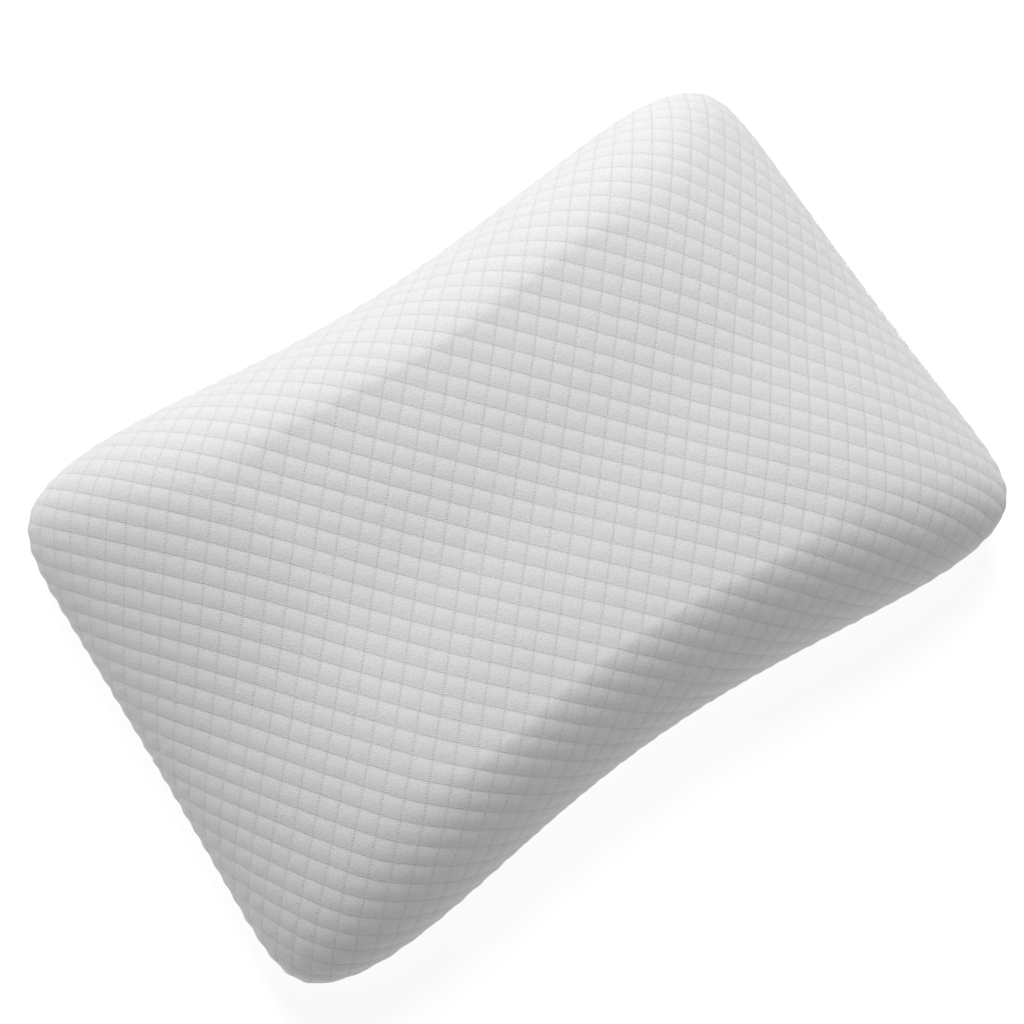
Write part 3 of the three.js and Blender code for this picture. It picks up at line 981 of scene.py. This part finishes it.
def slider_piece():
    """The slider: two plates joined by a web, with turned-in flanges and a bridge on top."""
    low, high = in_zip_frame("zip_slider")
    middle = (low[1] + high[1]) / 2
    half_y = (high[1] - low[1]) / 2
    half_z = (high[2] - low[2]) / 2
    plate = 0.8 * mm
    bridge_height = 2.3 * mm
    front_out = high[0] - bridge_height
    front_in = front_out - plate
    mesh = bmesh.new()
    shape = [(y + middle, z) for y, z in oval(half_y, half_z, 28, taper=-0.16)]
    widest = max(abs(z) for _, z in shape)
    shape = [(y, z * half_z / widest) for y, z in shape]
    outline_plate(mesh, shape, front_in, front_out)
    outline_plate(mesh, shape, low[0], low[0] + plate)
    web = COIL_GAP - 0.05 * mm
    box_in(
        mesh, (low[0] + plate / 2, middle + half_y * 0.1, -web),
        (front_in + plate / 2, middle + half_y * 0.8, web),
    )
    for side in (-1, 1):
        z0 = side * half_z * 0.93
        z1 = side * (half_z * 0.93 - 0.6 * mm)
        box_in(
            mesh, (front_in - 0.5 * mm, middle - half_y * 0.6, min(z0, z1)),
            (front_in + plate / 2, middle + half_y * 0.55, max(z0, z1)),
        )
    body = finished(mesh, "slider_body", 0.22 * mm)
    bridge = bridge_piece(front_out, high[0], middle)
    return body, bridge


def bridge_piece(low, high, middle):
    """The slider's bridge: a flat strap bent into an arch over the pull's bar."""
    half_span = 3.15 * mm
    strap = 0.7 * mm
    half_width = 0.8 * mm
    rise = high - low - strap / 2
    mesh = bmesh.new()
    rows = []
    count = 20
    for i in range(count + 1):
        turn = math.pi * i / count
        c, s = math.cos(turn), math.sin(turn)
        y = half_span * math.copysign(abs(c) ** 0.5, c)
        x = low - 0.2 * mm + (rise + 0.2 * mm) * abs(s) ** 0.5
        rising = s ** 0.5 if s > 0 else 0
        normal = Vector((rising, math.copysign(abs(c) ** 0.5, c), 0)).normalized()
        inner = Vector((x, middle + y, 0)) - normal * strap / 2
        outer = Vector((x, middle + y, 0)) + normal * strap / 2
        rows.append([
            mesh.verts.new(inner + Vector((0, 0, -half_width))),
            mesh.verts.new(inner + Vector((0, 0, half_width))),
            mesh.verts.new(outer + Vector((0, 0, half_width))),
            mesh.verts.new(outer + Vector((0, 0, -half_width))),
        ])
    for a, b in zip(rows, rows[1:]):
        for k in range(4):
            mesh.faces.new((a[k], a[(k + 1) % 4], b[(k + 1) % 4], b[k]))
    mesh.faces.new(rows[0][::-1])
    mesh.faces.new(rows[-1])
    return finished(mesh, "slider_bridge", 0.16 * mm)


def pull_piece():
    """The pull: a cross bar, two arms and a tab with grip ribs."""
    low, high = in_zip_frame("zip_pull")
    bar = Vector(joints["pull_turn"]["pos_m"])
    bar = zip_place.inverted() @ bar
    half_z = (high[2] - low[2]) / 2
    radius = 0.5 * mm
    thick = 1.2 * mm
    tab_top = bar.y - 3.9 * mm
    tab_low = low[1]
    half_y = (tab_top - tab_low) / 2
    mesh = bmesh.new()
    middle = (tab_top + tab_low) / 2
    shape = [(y + middle, z) for y, z in oval(half_y, half_z, 32, power=4)]
    outline_plate(mesh, shape, bar.x - thick * 0.32, bar.x + thick * 0.32)
    arm = 1.1 * mm
    arm_gap = 1.1 * mm
    arm_root = tab_top - 1.2 * mm
    for side in (-1, 1):
        z0 = side * arm_gap
        z1 = side * (arm_gap + arm)
        box_in(
            mesh, (bar.x - radius, arm_root, min(z0, z1)),
            (bar.x + radius, bar.y + radius, max(z0, z1)),
        )
    bar_reach = arm_gap + arm / 2
    box_in(
        mesh, (bar.x - radius, bar.y - radius, -bar_reach),
        (bar.x + radius, bar.y + radius, bar_reach),
    )
    ribs = 5
    rib_half = 0.28 * mm
    rib_reach = half_z * 0.62
    for i in range(ribs):
        y = middle + half_y * (-0.62 + 0.9 * i / (ribs - 1))
        box_in(
            mesh, (bar.x - thick / 2, y - rib_half, -rib_reach),
            (bar.x + thick / 2, y + rib_half, rib_reach),
        )
    return finished(mesh, "pull_tab", 0.2 * mm)


# --- Building the pillow -------------------------------------------------------------------------

def dress(piece, body, material, slot, *nodes):
    """Gives a piece its material and body, and hides the imported nodes that it stands for; slot is not
    used.
    """
    if not piece.data.materials:
        piece.data.materials.append(material)
    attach(piece, body)
    if nodes:
        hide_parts(*nodes)
    return piece


def keep(node, material):
    """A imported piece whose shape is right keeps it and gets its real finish."""
    made = frame["nodes"][node]
    made.data.materials.clear()
    made.data.materials.append(material)


def seam_turns():
    """The way around the seam, from one end of the zip's slot to the other."""
    turns = np.linspace(0, 2 * math.pi, 1500)
    x, y = outline(turns)
    at_zip = along_zip(np.stack([x, y, x * 0 + SEAM_HEIGHT], -1))
    return turns[(np.abs(at_zip) > SLOT_HALF + 5 * mm) | (x < 0)]


def build():
    thread = sewing_thread()
    plastic = nylon()
    painted = enamel()
    tape = woven_tape()

    cover = dress(quilted_cover(), "pillow", quilted_knit(), "quilted_knit", "top_cover")
    base_material = base_knit()
    base = dress(base_panel(), "pillow", base_material, "base_knit", "bottom_cover")
    liner = dress(liner_sleeve(), "pillow", liner_knit(), "liner_knit", "inner_liner")
    foam = dress(foam_block(), "pillow", foam_skin(), "foam", "foam_core")

    keep("seam_allowance", thread)
    keep("care_label", ribbon())
    for half in ("upper", "lower"):
        keep("zip_tape_" + half, tape)

    turns = seam_turns()
    seam_lift = -1.5 * mm
    seam = path_object(*skin_path(turns, np.full(len(turns), SEAM_HEIGHT), seam_lift))
    stitches = stitch_row(
        "seam_stitches", seam, thread, pitch=2.4 * mm, length=1.5 * mm, thick=0.4 * mm, swing=1.2,
    )
    dress(stitches, "pillow", thread, "base_knit")

    zip_rows(thread, plastic)
    for node in ("zip_top_stop_upper", "zip_top_stop_lower", "zip_bottom_stop"):
        dress(stop(node), "pillow", plastic, "zip_coil", node)
    body, bridge = slider_piece()
    dress(body, "slider", painted, "zip_enamel", "zip_slider")
    dress(bridge, "slider", painted, "zip_enamel", "zip_slider")
    dress(pull_piece(), "pull", painted, "zip_enamel", "zip_pull")


def zip_rows(thread, plastic):
    """The coils, their sewing threads, and the stitched edges of the slot."""
    for side, half in ((1, "upper"), (-1, "lower")):
        low, high = in_zip_frame("zip_coil_" + half)
        inner = side * COIL_GAP
        outer = high[2] if side > 0 else low[2]
        pitch = 1.15 * mm
        shift = pitch / 2 if side < 0 else 0.0
        middle_z = (inner + outer) / 2
        middle_x = (low[0] + high[0]) / 2
        first = low[1] + 0.5 * mm + shift
        last = high[1] - pitch + shift
        path = path_object(*zip_path(first, last, middle_x, middle_z))
        wire = 0.27 * mm
        reach = abs(outer - inner) - 2 * wire
        depth = high[0] - low[0] - 2 * wire
        coil = coil_row("coil_" + half, path, plastic, pitch, reach, depth, wire)
        dress(coil, "pillow", plastic, "zip_coil", "zip_coil_" + half)
        sewn_at = outer - side * 0.75 * mm
        seam = path_object(*zip_path(low[1], high[1], high[0] - 0.05 * mm, sewn_at))
        row = stitch_row(
            "coil_stitches_" + half, seam, thread,
            pitch=1.9 * mm, length=2.0 * mm, thick=0.4 * mm, swing=0.12,
        )
        dress(row, "pillow", thread, "zip_tape")
        edge_row = slot_stitches(side, half, thread)
        dress(edge_row, "pillow", thread, "quilted_knit" if side > 0 else "base_knit")


def slot_stitches(side, half, thread):
    """The row of stitches along the folded edge of the slot."""
    turns = np.linspace(-0.5, 0.5, 400)
    x, y = outline(turns)
    at_zip = along_zip(np.stack([x, y, x * 0 + SEAM_HEIGHT], -1))
    turns = turns[np.abs(at_zip) < SLOT_HALF - 1 * mm]
    height = SEAM_HEIGHT + side * (SLOT_HALF_HEIGHT + 3 * mm)
    lift = (0.45 if side > 0 else 0.15) * mm
    path = path_object(*skin_path(turns, np.full(len(turns), height), lift))
    return stitch_row(
        "slot_stitches_" + half, path, thread, pitch=3.0 * mm, length=2.5 * mm, thick=0.5 * mm,
    )


# --- Stage, light and camera ---------------------------------------------------------------------

CAMERA_AIM = (0, 0, 50 * mm)
CAMERA_DISTANCE = 1.402
CAMERA_PAN = (7.2 * mm, -0.1 * mm)
CAMERA_TURNS = {"lean": 0.2078, "nod": 0.0507, "roll": 0.5909}
CAMERA_LENS = 88.65


def set_camera():
    data = bpy.data.cameras.new("camera")
    data.lens = CAMERA_LENS
    data.sensor_width = 36
    camera = add_object("camera", data)
    facing = (
        Matrix.Rotation(-CAMERA_TURNS["lean"], 4, "Y")
        @ Matrix.Rotation(CAMERA_TURNS["nod"], 4, "X")
        @ Matrix.Rotation(-CAMERA_TURNS["roll"], 4, "Z")
    )
    away = Matrix.Translation((-CAMERA_PAN[0], -CAMERA_PAN[1], CAMERA_DISTANCE))
    camera.matrix_world = Matrix.Translation(CAMERA_AIM) @ facing @ away
    bpy.context.scene.camera = camera


def set_floor():
    mesh = bmesh.new()
    under = Matrix.Translation((0, 0, -0.4 * mm))
    bmesh.ops.create_grid(mesh, x_segments=1, y_segments=1, size=6, matrix=under)
    data = bpy.data.meshes.new("floor")
    mesh.to_mesh(data)
    mesh.free()
    floor = add_object("floor", data)
    finish = Finish(
        "pale_floor", Base_Color=(0.3, 0.3, 0.3, 1), Roughness=1.0,
        Emission_Color=(1, 1, 1, 1), Emission_Strength=0.85,
    )
    floor.data.materials.append(finish.material)


def area_light(name, azimuth, elevation, distance, size, power):
    """A soft square light that looks at the pillow. Azimuth 0 is +X and 90 degrees is +Y."""
    data = bpy.data.lights.new(name, "AREA")
    data.shape = "SQUARE"
    data.size = size
    data.energy = power
    light = add_object(name, data)
    turn = math.radians(azimuth)
    rise = math.radians(elevation)
    flat = math.cos(rise)
    facing = Vector((math.cos(turn) * flat, math.sin(turn) * flat, math.sin(rise)))
    place = facing * distance
    light.location = place
    light.rotation_euler = (-place).to_track_quat("-Z", "Y").to_euler()


def set_light():
    world = bpy.data.worlds.new("studio")
    world.use_nodes = True
    world.node_tree.nodes["Background"].inputs["Color"].default_value = (1, 1, 1, 1)
    world.node_tree.nodes["Background"].inputs["Strength"].default_value = 0.22
    bpy.context.scene.world = world
    area_light("key", azimuth=69, elevation=51, distance=2.6, size=1.3, power=51)
    view = bpy.context.scene.view_settings
    view.view_transform = "Standard"
    view.look = "None"


set_camera()
set_floor()
set_light()
build()
